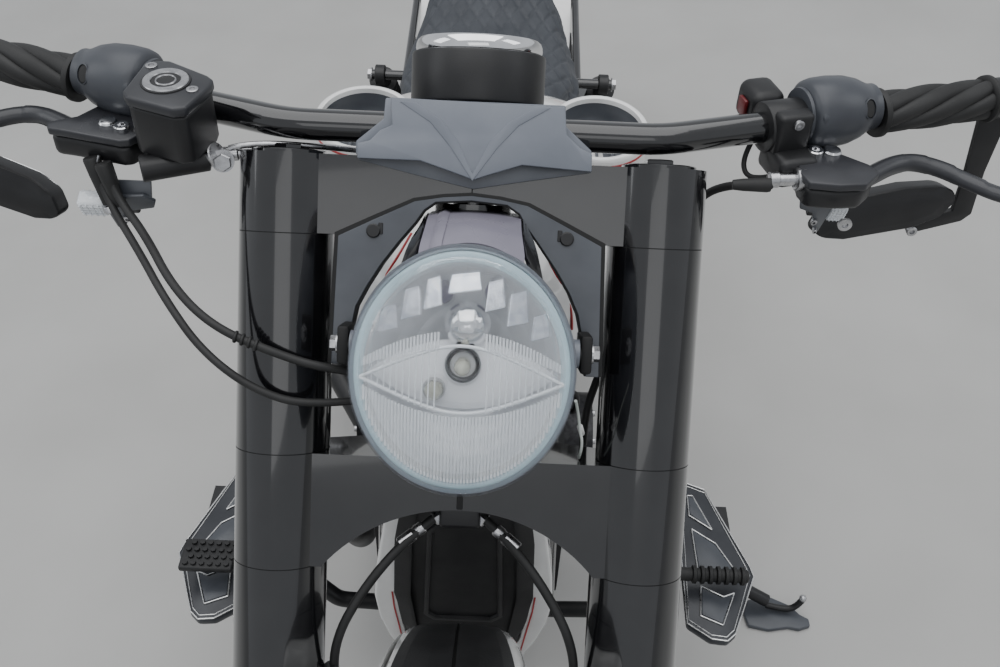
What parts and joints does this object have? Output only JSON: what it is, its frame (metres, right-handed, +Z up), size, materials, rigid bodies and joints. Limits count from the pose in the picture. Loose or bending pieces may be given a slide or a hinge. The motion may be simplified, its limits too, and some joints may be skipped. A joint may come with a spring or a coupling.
{
  "type": "cruiser motorcycle",
  "caption": "Long low V-twin cruiser motorcycle with wide fork covers, drag bar, forward footboards, white bodywork and a quilted seat, leaning on its side stand.",
  "frame": {"origin": "middle of the whole machine's bounding box, on the floor", "axes": "-Y is forward, +Y backwards, +X the rider's left, +Z up; the machine leans 6 degrees to its left"},
  "size_m": [0.9412, 2.4445, 1.0792],
  "materials": {
    "gloss_black": "gloss black",
    "satin_black": "satin black",
    "satin_grey": "satin dark grey",
    "white_paint": "gloss white with red lines",
    "cast_black": "black cast alloy",
    "bright_alloy": "bright cast alloy",
    "dark_steel": "hard chromed steel",
    "steel": "brushed steel",
    "black_rubber": "matte black rubber",
    "tyre": "road tyre",
    "seat_leather": "dark blue-grey quilted",
    "clear_lens": "clear",
    "reflector": "bright reflector",
    "red_lens": "red lens"
  },
  "bodies": {
    "frame": {"main_frame": "gloss_black", "crankcase": "cast_black", "cylinders": "cast_black", "engine_covers": "bright_alloy", "drive_belt": "black_rubber", "swingarm": "gloss_black", "rear_shocks": "satin_black", "radiator": "satin_black", "radiator_side_covers": "white_paint", "tank_cover": "white_paint", "seat": "seat_leather", "rear_fender": "white_paint", "pillion_pad": "seat_leather", "rear_lamps": "red_lens", "plate_holder": "satin_black", "exhaust_headers": "satin_black", "mufflers": "satin_black", "footboards": "satin_black", "footboard_arms": "satin_black", "foot_controls": "satin_black"},
    "steering": {"top_clamp": "gloss_black", "lower_clamp": "gloss_black", "fork_covers": "gloss_black", "fork_legs": "dark_steel", "front_axle": "steel", "front_calipers": "satin_black", "handlebar": "gloss_black", "riser_cap": "satin_grey", "grips": "black_rubber", "switch_housings": "satin_black", "clutch_perch": "satin_black", "brake_master": "satin_black", "hand_levers": "satin_black", "mirrors": "satin_black", "bar_indicators": "satin_black", "gauge": "gloss_black", "headlight_shell": "satin_grey", "headlight_reflector": "reflector", "headlight_lens": "clear_lens", "headlight_bracket": "satin_grey", "front_fender": "white_paint", "brake_hoses": "black_rubber", "bar_cables": "black_rubber"},
    "front_wheel": {"front_tyre": "tyre", "front_wheel": "cast_black", "front_discs": "steel"},
    "rear_wheel": {"rear_tyre": "tyre", "rear_wheel": "cast_black", "rear_pulley": "cast_black", "rear_disc": "steel"},
    "side_stand": {"side_stand": "satin_black"}
  },
  "joints": [
    {"name": "steering_head", "type": "hinge", "parent": "frame", "child": "steering", "pos_m": [-0.01183, -0.48793, 0.80904], "axis": [0.0867, 0.5592, 0.8245], "range_deg": [-27, 27]},
    {"name": "front_wheel_spin", "type": "hinge", "parent": "steering", "child": "front_wheel", "pos_m": [-0.06017, -0.87164, 0.34911], "axis": [0.9945, 0, -0.1045], "continuous": true},
    {"name": "rear_wheel_spin", "type": "hinge", "parent": "frame", "child": "rear_wheel", "pos_m": [-0.06285, 0.82836, 0.32353], "axis": [0.9945, 0, -0.1045], "continuous": true},
    {"name": "side_stand_fold", "type": "hinge", "parent": "frame", "child": "side_stand", "pos_m": [0.08657, -0.12664, 0.16674], "axis": [0.4386, -0.0575, 0.8968], "range_deg": [0, 102.8]}
  ]
}
